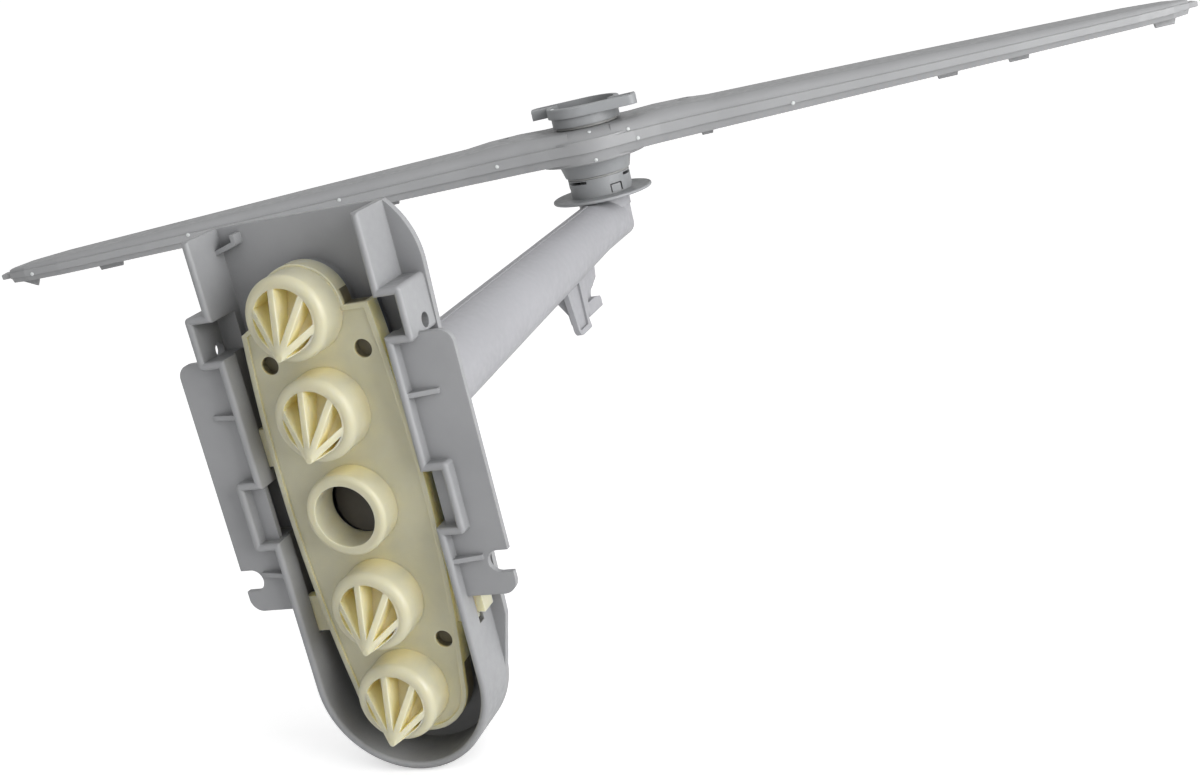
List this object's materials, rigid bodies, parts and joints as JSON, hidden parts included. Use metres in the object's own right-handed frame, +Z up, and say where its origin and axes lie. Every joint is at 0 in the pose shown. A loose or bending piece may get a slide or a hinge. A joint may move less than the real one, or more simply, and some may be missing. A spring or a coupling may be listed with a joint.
{
  "type": "dishwasher upper spray arm assembly",
  "caption": "Two-bladed spray arm on a hub, fed by a tapered tube from a docking carrier whose cover has one open and four closed spouts, and held by a winged bayonet nut.",
  "frame": {"origin": "centre of the mouth of the one open spout, the middle one of the row", "axes": "-Y out of the open spout, +Y along the feed tube to the arm's hub, +Z up along the arm's axis towards the lock nut, +X to the right seen from the spouts"},
  "size_m": [0.4348, 0.3238, 0.1471],
  "materials": {
    "grey_housing": "satin moulded polypropylene",
    "grey_tube": "satin moulded polypropylene",
    "grey_arm": "satin moulded polypropylene",
    "grey_hub": "satin moulded polypropylene",
    "cream_cover": "satin, slightly translucent moulding",
    "dark_flap": "matte",
    "pale_bearing": "smooth bearing plastic",
    "seal_rubber": "matte elastomer"
  },
  "bodies": {
    "base": {"docking_carrier": "grey_housing", "port_cover": "cream_cover", "chamber_gasket": "seal_rubber", "feed_tube_left": "grey_tube", "feed_tube_right": "grey_tube", "tube_seal": "seal_rubber", "bearing_collar": "grey_hub", "hub_spindle": "grey_hub", "lower_thrust_washer": "pale_bearing", "upper_thrust_washer": "pale_bearing"},
    "arm": {"arm_hub": "grey_hub", "lower_bush": "pale_bearing", "upper_bush": "pale_bearing", "arm_bottom_shell": "grey_arm", "arm_top_shell": "grey_arm"},
    "nut": {"lock_nut": "grey_hub"},
    "flap": {"check_flap": "dark_flap"}
  },
  "joints": [
    {"name": "arm_spin", "type": "hinge", "parent": "base", "child": "arm", "pos_m": [0, 0.235, 0.05], "axis": [0, 0, 1], "continuous": true},
    {"name": "nut_lock", "type": "hinge", "parent": "base", "child": "nut", "pos_m": [0, 0.235, 0.061], "axis": [0, 0, 1], "range_deg": [0, 90]},
    {"name": "flap_swing", "type": "hinge", "parent": "base", "child": "flap", "pos_m": [0, 0.0115, -0.0103], "axis": [-1, 0, 0], "range_deg": [-12, 13]}
  ]
}
